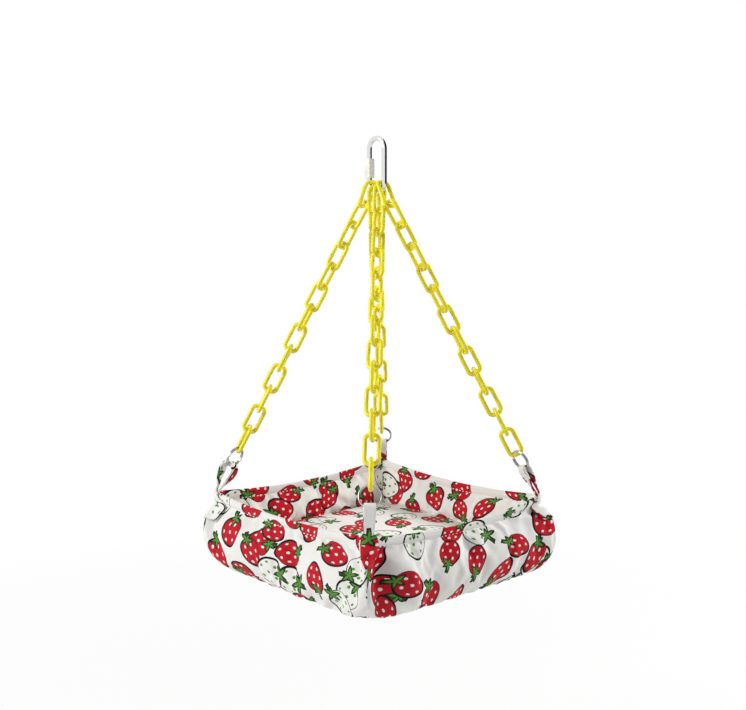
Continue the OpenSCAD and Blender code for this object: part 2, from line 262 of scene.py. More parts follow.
# One link: a ring of wire pulled apart into two bends and two legs, with its ridge and its nick
bpy.ops.object.select_all(action="DESELECT")
bpy.ops.mesh.primitive_torus_add(
    major_segments=link_steps, minor_segments=link_sides, major_radius=link_bend,
    minor_radius=link_wire / 2, rotation=(0, 0, math.pi / link_steps))
link = bpy.context.object
bpy.ops.object.transform_apply(location=False, rotation=True, scale=False)
bpy.ops.object.mode_set(mode="EDIT")
bpy.ops.mesh.select_mode(type="VERT")
for side in (-1, 1):
    pick(link, "verts", lambda p: p.x * side > 0)
    bpy.ops.transform.translate(value=(side * (link_half_width - link_bend), 0, 0))
    pick(link, "verts", lambda p: p.y * side > 0)
    bpy.ops.transform.translate(value=(0, side * (link_length / 2 - link_bend), 0))
pick(link, "verts", lambda p: abs(p.z) < 0.01 * MM)
bpy.ops.transform.shrink_fatten(value=mould_ridge)
for cut in nick_cuts:
    pick(link, "faces", lambda p: p.x > 0 and abs(p.y) < leg_reach)
    bpy.ops.mesh.bisect(plane_co=(0, cut * MM, 0), plane_no=(0, 1, 0))
pick(link, "verts", lambda p: p.x > 0 and abs(p.y) < nick_half)
bpy.ops.transform.resize(value=(nick_waist, 1, nick_waist), center_override=(link_half_width, 0, 0))
bpy.ops.object.mode_set(mode="OBJECT")
face_outwards()
bpy.ops.object.shade_smooth()
link.data.materials.append(yellow)


# The middle and axes of each separate solid in a chain's node. Triangles that share a corner take its
# lowest label until nothing changes, and each solid's spread then gives its length and width.
def solid_frames(node):
    mesh = frame["nodes"][node].data
    points = np.array([v.co for v in mesh.vertices])
    faces = np.array([f.vertices[:] for f in mesh.polygons])
    _, same = np.unique(np.round(points, 7), axis=0, return_inverse=True)
    corners = same.reshape(-1)[faces]
    label = np.arange(corners.max() + 1)
    while True:
        lowest = label[corners].min(axis=1)
        after = label.copy()
        for k in range(3):
            np.minimum.at(after, corners[:, k], lowest)
        after = after[after]
        if (after == label).all():
            break
        label = after
    owner = label[corners[:, 0]]
    frames = []
    for one in np.unique(owner):
        tri = points[faces[owner == one]]
        area = np.linalg.norm(np.cross(tri[:, 1] - tri[:, 0], tri[:, 2] - tri[:, 0]), axis=1)
        middle = tri.mean(axis=1)
        centre = (middle * area[:, None]).sum(axis=0) / area.sum()
        away = middle - centre
        _, axes = np.linalg.eigh((away * area[:, None]).T @ away)
        along, across = Vector(axes[:, 2]), Vector(axes[:, 1])
        turn = Matrix((across, along, across.cross(along))).transposed().to_4x4()
        frames.append(Matrix.Translation(Vector(centre)) @ turn)
    return frames


def placed_copy(piece, place):
    made = piece.copy()
    made.data = piece.data.copy()
    made.data.transform(place)
    scene.collection.objects.link(made)
    return made


for corner in corner_names:
    for node, body in (("top_link_" + corner, "top_links"), ("chain_" + corner, "hanging_bed")):
        bpy.ops.object.select_all(action="DESELECT")
        copies = [placed_copy(link, place) for place in solid_frames(node)]
        for one in copies:
            one.select_set(True)
        bpy.context.view_layer.objects.active = copies[0]
        if len(copies) > 1:
            bpy.ops.object.join()
        moulded = bpy.context.object
        moulded.name = moulded.data.name = "moulded_" + node
        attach(moulded, body)
        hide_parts(node)
bpy.data.objects.remove(link)


# Split rings: spring wire wound two turns, with a step where the wire crosses from one turn to the
# other, and nickel plated. Each joins a chain's last link to a fabric loop.
ring_radius, ring_wire, ring_step = 6.95 * MM, 1.1 * MM, 0.99 * MM
ring_sides, coil_steps = 10, 112
coil_degrees, crossing_start, crossing_degrees = 700, 325, 50
ring_steel = plated_steel("nickel_plated_spring_wire", "#9C9A96", 0.12, 1.0)
ring_hinges = {j["child"]: j for j in frame["joints"] if j["child"].startswith("split_ring_")}


def smooth(t):
    t = min(max(t, 0.0), 1.0)
    return t * t * (3 - 2 * t)


bpy.ops.object.select_all(action="DESELECT")
bpy.ops.mesh.primitive_circle_add(
    vertices=ring_sides, radius=ring_wire / 2, fill_type="NGON", location=(ring_radius, 0, 0),
    rotation=(math.pi / 2, 0, 0))
coil = bpy.context.object
bpy.ops.object.transform_apply(location=True, rotation=True, scale=False)
bpy.ops.object.mode_set(mode="EDIT")
bpy.ops.mesh.select_all(action="SELECT")
bpy.ops.mesh.spin(
    steps=coil_steps, angle=math.radians(coil_degrees), center=(0, 0, 0), axis=(0, 0, 1))
bpy.ops.object.mode_set(mode="OBJECT")
wound = len(coil.data.vertices) // ring_sides
for k, vertex in enumerate(coil.data.vertices):
    turned = coil_degrees * (k // ring_sides) / (wound - 1)
    vertex.co.z += ring_step * (smooth((turned - crossing_start) / crossing_degrees) - 0.5)
face_outwards()
bpy.ops.object.shade_smooth_by_angle(angle=math.radians(50))
coil.data.materials.append(ring_steel)
for corner in corner_names:
    hinge = ring_hinges["split_ring_" + corner]
    axis, up = Vector(hinge["axis"]).normalized(), Vector((0, 0, 1))
    across = up.cross(axis).normalized()
    turn = Matrix((across, axis.cross(across), axis)).transposed().to_4x4()
    one = placed_copy(coil, Matrix.Translation(Vector(hinge["pos_m"])) @ turn)
    one.name = one.data.name = "wound_ring_" + corner
    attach(one, "split_ring_" + corner)
    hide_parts("ring_" + corner)
bpy.data.objects.remove(coil)


# Printed cotton: the one cloth of the tray and its loops, a bleached plain-weave cotton with
# strawberries screen printed on it in red, green and black. Its UV map is in metres of cloth. The
# print's lengths are in millimetres here, and its nudge, shrink, slimness and edges are shares.
print_step, most_nudge, most_shrink = 36.0, 0.17, 0.13
berry_half_length, berry_below, berry_half_width, berry_taper = 9.5, 2.5, 7.9, 1.7
slimmest, slim_range = 0.84, 0.4
body_edge, outline_edge, outline_shift = 1.06, 0.955, (0.05, -0.03)
seed_row, seed_column, seed_half_width, seed_half_length, seed_edge = 5.0, 5.8, 0.85, 1.15, 0.78
crown_level, leaf_points, leaf_root, leaf_length, leaf_uneven = 6.2, 5, 1.0, 3.9, 0.9
stalk_half_width, stalk_middle, stalk_half_length = 0.8, 2.4, 2.6
crown_outline, crown_border = 0.85, 0.9
pale_share = 0.27
cotton, tree = new_material("printed_plain_weave_cotton")
sheet_uv = add(tree, "ShaderNodeUVMap", uv_map="cloth")
flat = add(tree, "ShaderNodeVectorMath", [sheet_uv, (1 / MM, 1 / MM, 0)], operation="MULTIPLY")


def sum_of_squares(tree, a, b):
    square = add(tree, "ShaderNodeMath", [a, a], operation="MULTIPLY")
    return add(tree, "ShaderNodeMath", [b, b, square], operation="MULTIPLY_ADD")


# At most one berry in each square of the print's lattice, turned, sized and slimmed by chance. The
# share is how many of the squares hold one.
def berries(tree, flat, slant, shift, seed, share):
    slanted = add(tree, "ShaderNodeVectorRotate",
                  {"Vector": flat, "Angle": math.radians(slant)}, rotation_type="Z_AXIS")
    step = add(tree, "ShaderNodeVectorMath",
               [slanted, (1 / print_step, 1 / print_step, 0), shift], operation="MULTIPLY_ADD")
    square = add(tree, "ShaderNodeVectorMath", [step], operation="FLOOR")
    square = add(tree, "ShaderNodeVectorMath", [square, (0, 0, seed)], operation="ADD")
    chance = add(tree, "ShaderNodeTexWhiteNoise", [square], noise_dimensions="3D")
    parts = add(tree, "ShaderNodeSeparateColor", [chance.outputs["Color"]])
    local = add(tree, "ShaderNodeVectorMath", [step], operation="FRACTION")
    local = add(tree, "ShaderNodeVectorMath", [local, (0.5, 0.5, 0)], operation="SUBTRACT")
    nudge = add(tree, "ShaderNodeVectorMath",
                [chance.outputs["Color"], (most_nudge, most_nudge, 0),
                 (-most_nudge / 2, -most_nudge / 2, 0)], operation="MULTIPLY_ADD")
    local = add(tree, "ShaderNodeVectorMath", [local, nudge], operation="SUBTRACT")
    turn = add(tree, "ShaderNodeMath", [chance.outputs["Value"], 2 * math.pi], operation="MULTIPLY")
    local = add(tree, "ShaderNodeVectorRotate", {"Vector": local, "Angle": turn},
                rotation_type="Z_AXIS")
    size = add(tree, "ShaderNodeMath", [parts.outputs["Blue"], -most_shrink * print_step, print_step],
               operation="MULTIPLY_ADD")
    local = add(tree, "ShaderNodeVectorMath", {0: local, "Scale": size}, operation="SCALE")
    spot = add(tree, "ShaderNodeSeparateXYZ", [local])
    slim = add(tree, "ShaderNodeMath", [parts.outputs["Red"], slim_range, slimmest],
               operation="MULTIPLY_ADD")
    x = add(tree, "ShaderNodeMath", [spot.outputs["X"], slim], operation="MULTIPLY")
    y = spot.outputs["Y"]

    # Body: an egg, broad below the leaves and drawn to a blunt tip. Its black outline is shifted, so
    # that it is thin on one side.
    long = add(tree, "ShaderNodeMath", [y, 1 / berry_half_length, berry_below / berry_half_length],
               operation="MULTIPLY_ADD")
    wide = add(tree, "ShaderNodeMath", [long, berry_taper, berry_half_width], operation="MULTIPLY_ADD")
    across = add(tree, "ShaderNodeMath", [x, wide], operation="DIVIDE")
    egg = add(tree, "ShaderNodeMath", [sum_of_squares(tree, across, long)], operation="SQRT")
    body = add(tree, "ShaderNodeMath", [egg, body_edge], operation="LESS_THAN")
    lit_x = add(tree, "ShaderNodeMath", [across, outline_shift[0]], operation="ADD")
    lit_y = add(tree, "ShaderNodeMath", [long, outline_shift[1]], operation="ADD")
    edge = add(tree, "ShaderNodeMath", [sum_of_squares(tree, lit_x, lit_y), outline_edge ** 2],
               operation="GREATER_THAN")

    # Seeds: staggered rows of small ovals that stop short of the edge
    row = add(tree, "ShaderNodeMath", [y, 1 / seed_row, 0.1], operation="MULTIPLY_ADD")
    line = add(tree, "ShaderNodeMath", [row], operation="FLOOR")
    odd = add(tree, "ShaderNodeMath", [line, 2.0], operation="FLOORED_MODULO")
    odd = add(tree, "ShaderNodeMath", [odd, 0.5], operation="MULTIPLY")
    column = add(tree, "ShaderNodeMath", [x, 1 / seed_column, odd], operation="MULTIPLY_ADD")
    offs = []
    for cell, halves in ((column, seed_column / seed_half_width), (row, seed_row / seed_half_length)):
        off = add(tree, "ShaderNodeMath", [cell], operation="FRACT")
        offs.append(add(tree, "ShaderNodeMath", [off, halves, -halves / 2], operation="MULTIPLY_ADD"))
    pip = add(tree, "ShaderNodeMath", [sum_of_squares(tree, *offs), 1.0], operation="LESS_THAN")
    inside = add(tree, "ShaderNodeMath", [egg, seed_edge], operation="LESS_THAN")
    pip = add(tree, "ShaderNodeMath", [pip, inside], operation="MULTIPLY")

    # Leaves: five points round the stalk, of uneven length, and the stalk itself
    high = add(tree, "ShaderNodeMath", [y, -crown_level], operation="ADD")
    angle = add(tree, "ShaderNodeMath", [x, high], operation="ARCTAN2")
    start = add(tree, "ShaderNodeMath", [parts.outputs["Red"], 0.5, 0.3], operation="MULTIPLY_ADD")
    point = add(tree, "ShaderNodeMath", [angle, leaf_points / (2 * math.pi), start],
                operation="MULTIPLY_ADD")
    point = add(tree, "ShaderNodeMath", [point], operation="FRACT")
    point = add(tree, "ShaderNodeMath", [point, 2.0, -1.0], operation="MULTIPLY_ADD")
    point = add(tree, "ShaderNodeMath", [point], operation="ABSOLUTE")
    point = add(tree, "ShaderNodeMath", [point, 0.9], operation="POWER")
    sway = add(tree, "ShaderNodeMath", [angle, 2.0], operation="MULTIPLY")
    sway = add(tree, "ShaderNodeMath", [sway], operation="SINE")
    sway = add(tree, "ShaderNodeMath", [sway, leaf_uneven, leaf_length], operation="MULTIPLY_ADD")
    leaf = add(tree, "ShaderNodeMath", [point, sway, leaf_root], operation="MULTIPLY_ADD")
    far = add(tree, "ShaderNodeMath", [sum_of_squares(tree, x, high)], operation="SQRT")
    beyond = add(tree, "ShaderNodeMath", [far, leaf], operation="SUBTRACT")
    lean = add(tree, "ShaderNodeMath", [parts.outputs["Green"], -0.5], operation="ADD")
    lean = add(tree, "ShaderNodeMath", [lean, high], operation="MULTIPLY")
    offs = []
    for at, middle, half in ((x, lean, stalk_half_width), (high, stalk_middle, stalk_half_length)):
        off = add(tree, "ShaderNodeMath", [at, middle], operation="SUBTRACT")
        off = add(tree, "ShaderNodeMath", [off], operation="ABSOLUTE")
        offs.append(add(tree, "ShaderNodeMath", [off, half], operation="SUBTRACT"))
    stalk = add(tree, "ShaderNodeMath", offs, operation="MAXIMUM")
    crown = add(tree, "ShaderNodeMath", [beyond, stalk], operation="MINIMUM")
    crown_line = add(tree, "ShaderNodeMath", [crown, crown_outline], operation="LESS_THAN")
    crown_fill = add(tree, "ShaderNodeMath", [crown, 0.0], operation="LESS_THAN")
    crown_light = add(tree, "ShaderNodeMath", [crown, -crown_border], operation="LESS_THAN")

    # Inks, laid one over the other: red or white flesh, seeds, black lines and two greens
    ripe = add(tree, "ShaderNodeMath", [parts.outputs["Green"], pale_share], operation="GREATER_THAN")
    flesh = add(tree, "ShaderNodeMix",
                {"Factor": ripe, 6: linear("#F4F2EE"), 7: linear("#C51C2A")}, data_type="RGBA")
    speck = add(tree, "ShaderNodeMix",
                {"Factor": ripe, 6: linear("#5C9A3C"), 7: linear("#F8F1EE")}, data_type="RGBA")
    ink = add(tree, "ShaderNodeMix",
              {"Factor": pip, 6: flesh.outputs[2], 7: speck.outputs[2]}, data_type="RGBA")
    dark = add(tree, "ShaderNodeMath", [edge, crown_line], operation="MAXIMUM")
    for laid, code in ((dark, "#1A1318"), (crown_fill, "#27511F"), (crown_light, "#5E973E")):
        ink = add(tree, "ShaderNodeMix",
                  {"Factor": laid, 6: ink.outputs[2], 7: linear(code)}, data_type="RGBA")
    cover = add(tree, "ShaderNodeMath", [body, crown_line], operation="MAXIMUM")
    grown = add(tree, "ShaderNodeMath", [parts.outputs["Red"], share], operation="LESS_THAN")
    cover = add(tree, "ShaderNodeMath", [cover, grown], operation="MULTIPLY")
    return ink.outputs[2], cover


# Bleached cotton gives a warm matt white with a slight bloom at grazing angles, and blotches of about
# 3 mm. Its threads are about 0.4 mm apart, drawn here at 1.1 mm so that the weave shows.
thread_gap = 1.1
thread_turns = 2 * math.pi / thread_gap
fuzz = add(tree, "ShaderNodeTexNoise", {"Vector": flat, "Scale": 0.35, "Detail": 4.0})
tone = add(tree, "ShaderNodeMix",
           {"Factor": fuzz, 6: linear("#EFEDE8"), 7: linear("#F6F5F2")}, data_type="RGBA").outputs[2]
for slant, shift, seed, share in (
    (51, (0.2, 0.1, 0), 3.0, 0.4), (14, (0.0, 0.0, 0), 7.0, 1.0), (14, (0.5, 0.5, 0), 11.0, 1.0)
):
    ink, cover = berries(tree, flat, slant, shift, seed, share)
    tone = add(tree, "ShaderNodeMix", {"Factor": cover, 6: tone, 7: ink}, data_type="RGBA").outputs[2]
thread = add(tree, "ShaderNodeVectorMath", [flat, (thread_turns, thread_turns, 0)],
             operation="MULTIPLY")
thread = add(tree, "ShaderNodeVectorMath", [thread], operation="SINE")
weave = add(tree, "ShaderNodeSeparateXYZ", [thread])
weave = add(tree, "ShaderNodeMath", [weave.outputs["X"], weave.outputs["Y"]], operation="MULTIPLY")
slub = add(tree, "ShaderNodeMath", [fuzz, weave], operation="MULTIPLY")
# The weave also darkens the cotton's colour by up to seven hundredths where its threads dip: painted shade
# of the threads' relief, which the bump draws as well
shade = add(tree, "ShaderNodeMapRange",
            {"Value": slub, "From Min": -0.6, "From Max": 0.6, "To Min": 0.93, "To Max": 1.0})
woven = add(tree, "ShaderNodeMix", {"Factor": 1.0, 6: tone, 7: shade}, data_type="RGBA",
            blend_type="MULTIPLY")
dull = add(tree, "ShaderNodeMapRange", {"Value": fuzz, "To Min": 0.78, "To Max": 0.95})
relief = add(tree, "ShaderNodeBump", {"Height": slub, "Strength": 0.35, "Distance": 0.12 * MM})
cloth = add(tree, "ShaderNodeBsdfPrincipled",
            {"Base Color": woven.outputs[2], "Roughness": dull, "Normal": relief,
             "Specular IOR Level": 0.15, "Sheen Weight": 0.06, "Sheen Roughness": 0.5})
add(tree, "ShaderNodeOutputMaterial", {"Surface": cloth})


# Tray: a square cover and lining of the printed cotton, sewn together round the rim, turned and
# stuffed. A row of topstitching below the rim shuts off a flat lip, the lining is caught down
# round the floor cushion, and the walls and floor are filled with polyester batting.
rim_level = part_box("outer_cover")[1].z / MM
# Sizes are in millimetres. A list of four goes round the walls or the corners, from the wall at +X
# and from the corner at its near end. Squareness is the power of a plan's rounded square.
corner_reach, rim_square, floor_square = 77.5, 40.0, 60.0
rim_half = corner_reach * 2 ** (1 / rim_square)
wall_cells, outer_rows, inner_rows = 64, 19, 13
tray_height, tray_depth, stitch_depth = 51.0, 31.0, 6.2
rim_sags = np.array([6.5, 5.0, 5.0, 4.5])
bellies, belly_leans = np.array([2.0, 1.4, 1.4, 0.4]), np.array([-0.3, 0.0, 0.0, 4.0])
wall_square, hem_square = np.array([40.0, 40.0, 24.0, 20.0]), np.array([12.0, 24.0, 14.0, 9.0])
wall_start, wall_out, wall_in, wall_foot = 0.5, 8.0, 4.2, 7.0
floor_crown, underside_drop, crown_power = 3.0, 2.6, 3.0
crest_height = 0.7
lip = [(0.7, -0.3), (1.0, 0.6), (1.1, 2.4), (1.0, 4.3), (0.55, 5.5), (0.25, stitch_depth)]

# Profile rows from the rim's crest: reach beyond the rim, depth, and squareness of the plan. Powers
# under 1 draw the rows towards the foot and make the swell fuller.
round_cells = 4 * wall_cells
columns = np.arange(round_cells)
walls, rays = columns // wall_cells, 2 * (columns % wall_cells) / wall_cells - 1
corner_of = np.where(rays < 0, walls, (walls + 1) % 4)
outer = [(0.0, -crest_height, rim_square)] + [(r, d, rim_square) for r, d in lip]
for j in range(1, outer_rows + 1):
    q = (1 - math.cos(math.pi * (j / outer_rows) ** 0.92)) / 2
    outer.append((
        wall_start + wall_out * math.sin(math.pi * q) ** 0.7,
        stitch_depth + q * (tray_height - stitch_depth),
        (wall_square + (hem_square - wall_square) * q ** 2)[corner_of]))
inner = [(-r, d, rim_square) for r, d in lip]
for j in range(1, inner_rows + 1):
    q = (1 - math.cos(math.pi * (j / inner_rows) ** 0.95)) / 2
    inner.append((
        -wall_start - wall_foot * q - wall_in * math.sin(math.pi * q) ** 0.8,
        stitch_depth + q * (tray_depth - stitch_depth),
        floor_square))
tray_rng = np.random.default_rng(5)


# The plan's point on each wall, where a ray of -1 to 1 runs from one of its corners to the other
def on_wall(reach, squareness, ray, wall):
    scale = reach / (1 + np.abs(ray) ** squareness) ** (1 / squareness)
    x, y = scale, scale * ray
    for quarter in range(1, 4):
        turned = wall >= quarter
        x, y = np.where(turned, -y, x), np.where(turned, x, y)
    return x, y


# One row of points round the tray: the rim sags between its corners, and so does the underside's edge
def ring_row(reach, depth, squareness):
    x, y = on_wall(rim_half + reach, squareness, rays, walls)
    sag = rim_sags[walls] * (1 - rays ** 2) * max(0, 1 - depth / (tray_depth - floor_crown))
    low = max(0, (depth - tray_depth) / (tray_height - tray_depth))
    sag += bellies[walls] * (1 + belly_leans[walls] * rays) * (1 - rays ** 4) * low ** 1.5
    return np.stack([x, y, rim_level - depth - sag], axis=1)


# Gathers: the cover is drawn up into each corner, so folds fan out from the strap's root. Each fold
# has an angle below the rim, a half width in degrees, a height and a reach in millimetres.
near_right = [(10, 6, -1.6, 30), (27, 8, 1.6, 38)]
near_left = [(20, 8, -1.4, 30), (40, 9, 1.2, 32), (58, 9, -2.8, 30), (75, 6, 1.2, 26)]
corner_folds = {(0, 0): near_right, (0, 1): near_left}
for corner in (1, 2, 3):
    for side in (0, 1):
        corner_folds[corner, side] = [
            (turn + tray_rng.uniform(-4, 4), tray_rng.uniform(5, 9), sign * tray_rng.uniform(0.6, 1.5),
             tray_rng.uniform(20, 34))
            for turn, sign in ((16, -1), (34, 1), (52, -1), (70, 1))]

# Puckers: short soft folds that hang from the stitching along each wall, each with a place along the
# wall, a half width, a height, a slant and a reach
pucker_count, pucker_gap = 11, 13.0
wall_puckers = []
for wall, strength in enumerate((2.2, 1.5, 1.5, 1.1)):
    for n in range(pucker_count):
        wall_puckers.append((
            wall, (n - pucker_count // 2) * pucker_gap + tray_rng.uniform(-4, 4),
            tray_rng.uniform(3.5, 6.5), strength * (-1) ** n * tray_rng.uniform(0.5, 1.3),
            tray_rng.uniform(-0.6, 0.6), tray_rng.uniform(12, 26)))
# Beside the near corner the cover falls in behind its seam and swells out again
wall_puckers += [(0, 9 - rim_half, 6.5, -6.5, 0.1, 70.0), (0, 25 - rim_half, 8.0, 4.0, 0.2, 70.0)]
pucker_onset, gather_onset, hem_fade = 4, 7, 8


# How far the folds push each point of a row outwards: nothing above the stitching or at the hem
def gathers(depth):
    fold = np.zeros(round_cells)
    if depth <= stitch_depth:
        return fold
    below = depth - stitch_depth
    for wall, place, half, high, slant, reach in wall_puckers:
        size = high * (1 - math.exp(-(below / pucker_onset) ** 2)) * math.exp(-(below / reach) ** 2)
        across = (rays * rim_half - place - slant * below) / half
        fold += np.where(walls == wall, size * np.exp(-across ** 2), 0)
    beside = rim_half * (1 - np.abs(rays))
    far = np.hypot(beside, below)
    angle = np.degrees(np.arctan2(below, beside + 0.01))
    for (corner, side), folds in corner_folds.items():
        here = (corner_of == corner) & ((rays < 0) == (side == 0))
        for turn, half, high, reach in folds:
            size = high * (1 - np.exp(-(far / gather_onset) ** 2)) * np.exp(-(far / reach) ** 2)
            fold += np.where(here, size * np.exp(-((angle - turn) / half) ** 2), 0)
    return fold * min(1, (tray_height - depth) / hem_fade)


rows = [ring_row(*row) for row in outer + inner]
points = list(np.concatenate(rows))
crest, hem, foot = 0, len(outer) - 1, len(rows) - 1
first_inner = len(outer)


# A square grid that fills the last row of the lining or of the cover and swells to a middle level
def flat_grid(edge_row, reach, squareness, middle):
    index = {}
    for s in range(round_cells):
        wall, i = divmod(s, wall_cells)
        spot = [(wall_cells, i), (wall_cells - i, wall_cells), (0, wall_cells - i), (i, 0)][wall]
        index[spot] = edge_row * round_cells + s
    edge_z = np.array([points[edge_row * round_cells + s][2] for s in range(round_cells)]).mean()
    for i in range(1, wall_cells):
        for j in range(1, wall_cells):
            u, v = 2 * i / wall_cells - 1, 2 * j / wall_cells - 1
            k = max(abs(u), abs(v), 1e-9)
            plan = squareness[(0 if v < 0 else 1) if u > 0 else (3 if v < 0 else 2)]
            shrink = (1 + (min(abs(u), abs(v)) / k) ** plan) ** (-1 / plan)
            index[i, j] = len(points)
            points.append(np.array([reach * u * shrink, reach * v * shrink,
                                    edge_z + (middle - edge_z) * (1 - k ** crown_power)]))
    return index


floor_at = flat_grid(foot, rim_half + inner[-1][0], [floor_square] * 4,
                     rim_level - tray_depth + floor_crown)
under_at = flat_grid(hem, rim_half + outer[-1][0], hem_square,
                     rim_level - tray_height - underside_drop)
points = np.array(points)

# Faces with their place on the flat cloth: each wall, the floor and the underside is a panel
panel_gap, first_shift = 190.0, 6.0
square_u, square_v, square_gap = 95, 400, 220
faces, uvs, sides = [], [], []


# How far down the cloth each row of a profile lies
def travelled(profile):
    steps = [0.0]
    for a, b in zip(profile, profile[1:]):
        steps.append(steps[-1] + math.hypot(b[0] - a[0], b[1] - a[1]))
    return steps


for inside, profile, row_at in (
    (0, outer, list(range(len(outer)))),
    (1, [outer[0]] + inner, [crest] + list(range(first_inner, len(rows)))),
):
    down = travelled(profile)
    for k in range(len(profile) - 1):
        for s in range(round_cells):
            t = (s + 1) % round_cells
            wall, i = divmod(s, wall_cells)
            left = rim_half * (2 * i / wall_cells - 1)
            right = rim_half * (2 * (i + 1) / wall_cells - 1)
            panel = panel_gap * (wall + 4 * inside) + (first_shift if wall == 0 else 0.0)
            a, b = row_at[k] * round_cells, row_at[k + 1] * round_cells
            quad = [(a + s, left, down[k]), (b + s, left, down[k + 1]),
                    (b + t, right, down[k + 1]), (a + t, right, down[k])]
            if inside:
                quad.reverse()
            faces.append([p for p, _, _ in quad])
            uvs.append([(panel + u, v) for _, u, v in quad])
            sides.append(inside)
for inside, index in ((0, under_at), (1, floor_at)):
    for i in range(wall_cells):
        for j in range(wall_cells):
            quad = [index[i, j], index[i + 1, j], index[i + 1, j + 1], index[i, j + 1]]
            if not inside:
                quad.reverse()
            faces.append(quad)
            uvs.append([(points[p][0] + square_u, points[p][1] + square_v + square_gap * inside)
                        for p in quad])
            sides.append(inside)


def select_only(piece):
    bpy.ops.object.select_all(action="DESELECT")
    piece.select_set(True)
    bpy.context.view_layer.objects.active = piece


# A piece of the printed cotton, from points and UVs in millimetres
def cloth_piece(name, points, faces, uvs):
    mesh = bpy.data.meshes.new(name)
    mesh.from_pydata([tuple(p) for p in np.asarray(points) * MM], [], faces)
    layer = mesh.uv_layers.new(name="cloth")
    layer.data.foreach_set("uv", np.array([c for f in uvs for c in f], np.float32).ravel() * MM)
    mesh.materials.append(cotton)
    piece = bpy.data.objects.new(name, mesh)
    scene.collection.objects.link(piece)
    select_only(piece)
    bpy.ops.object.shade_smooth()
    return piece


tray = cloth_piece("tray", points, faces, uvs)
tray.data.attributes.new("inside", "INT", "FACE").data.foreach_set("value", sides)

# Stuffing: the batting presses the cloth out while the stitched rows hold it. The walls are cut a
# little larger than their outline, so they pucker, and the floor and underside to size. Weights say
# how firmly each row is held and how hard it is pressed.
hem_hold, flat_hold, row_press, flat_press = 0.25, 0.12, 0.3, 0.25
stuffing_steps, most_move = 22, 5.0
sewn = tray.vertex_groups.new(name="sewn")
filled = tray.vertex_groups.new(name="filled")
flat_cut = tray.vertex_groups.new(name="flat_cut")
for k, (_, depth, _) in enumerate(outer + inner):
    ring = list(range(k * round_cells, (k + 1) * round_cells))
    stitched = depth <= stitch_depth or k == foot
    if stitched or k == hem:
        sewn.add(ring, 1.0 if stitched else hem_hold, "REPLACE")
    filled.add(ring, row_press if stitched or k == hem else 1.0, "REPLACE")
flat_points = list(range(len(rows) * round_cells, len(points)))
sewn.add(flat_points, flat_hold, "REPLACE")
filled.add(flat_points, flat_press, "REPLACE")
flat_cut.add(flat_points, 1.0, "REPLACE")
stuffing = tray.modifiers.new("stuffing", "CLOTH")
settings = stuffing.settings
settings.quality = 6
settings.mass = 0.3
settings.tension_stiffness = settings.compression_stiffness = 18
settings.shear_stiffness = 8
settings.bending_stiffness = 0.4
settings.vertex_group_mass = "sewn"
settings.pin_stiffness = 1.0
settings.use_pressure = True
settings.uniform_pressure_force = 3.0
settings.vertex_group_pressure = "filled"
settings.vertex_group_shrink = "flat_cut"
settings.shrink_min, settings.shrink_max = -0.05, 0.0
settings.effector_weights.gravity = 0
stuffing.collision_settings.use_collision = False
stuffing.point_cache.frame_start, stuffing.point_cache.frame_end = 1, stuffing_steps
for step in range(1, stuffing_steps + 1):
    scene.frame_set(step)
settled = tray.evaluated_get(bpy.context.evaluated_depsgraph_get()).to_mesh()
move = np.array([v.co for v in settled.vertices]) / MM - points
far = np.linalg.norm(move, axis=1, keepdims=True)
points = points + move * np.minimum(1, most_move / np.maximum(far, 1e-9))
tray.modifiers.remove(stuffing)
scene.frame_set(1)

# The gathers and puckers are pressed in once the walls are full
wall_face = np.stack(on_wall(1.0, rim_square, 0.0 * rays, walls) + (0.0 * rays,), axis=1)
for k, (_, depth, _) in enumerate(outer):
    points[k * round_cells:(k + 1) * round_cells] += gathers(depth)[:, None] * wall_face
tray.data.vertices.foreach_set("co", (points * MM).astype(np.float32).ravel())
tray.data.update()

finer = tray.modifiers.new("finer", "SUBSURF")
finer.levels = finer.render_levels = 1
finer.use_limit_surface = False
select_only(tray)
bpy.ops.object.modifier_apply(modifier="finer")

# The lining becomes a piece of its own, which meets the cover along the rim's crest
bpy.ops.object.mode_set(mode="EDIT")
bpy.ops.mesh.select_mode(type="FACE")
bpy.ops.mesh.select_all(action="DESELECT")
shape = bmesh.from_edit_mesh(tray.data)
marked = shape.faces.layers.int["inside"]
for face in shape.faces:
    if face[marked]:
        face.select_set(True)
bmesh.update_edit_mesh(tray.data)
bpy.ops.mesh.separate(type="SELECTED")
bpy.ops.object.mode_set(mode="OBJECT")
tray_lining = [o for o in bpy.context.selected_objects if o != tray][0]
tray.name = tray.data.name = "tray_cover"
tray_lining.name = tray_lining.data.name = "tray_lining"
for piece, nodes, slot in (
    (tray, ["outer_cover", "wall_pad_east", "wall_pad_north", "wall_pad_west", "wall_pad_south"],
     "cover_cotton"),
    (tray_lining, ["lining", "floor_pad"], "lining_cotton"),
):
    piece.vertex_groups.clear()
    piece.data.attributes.remove(piece.data.attributes["inside"])
    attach(piece, "hanging_bed")
    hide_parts(*nodes)


# Topstitching: one row of white polyester thread through the lip, seen on both sides of the rim.
# Each stitch is a short raised bar whose ends dive into the cloth.
stitch_length, stitch_width, stitch_height, stitch_step = 2.4, 0.76, 0.6, 3.3
stitch_end, stitch_dive, stitch_lift = 0.9, 0.3, 0.12

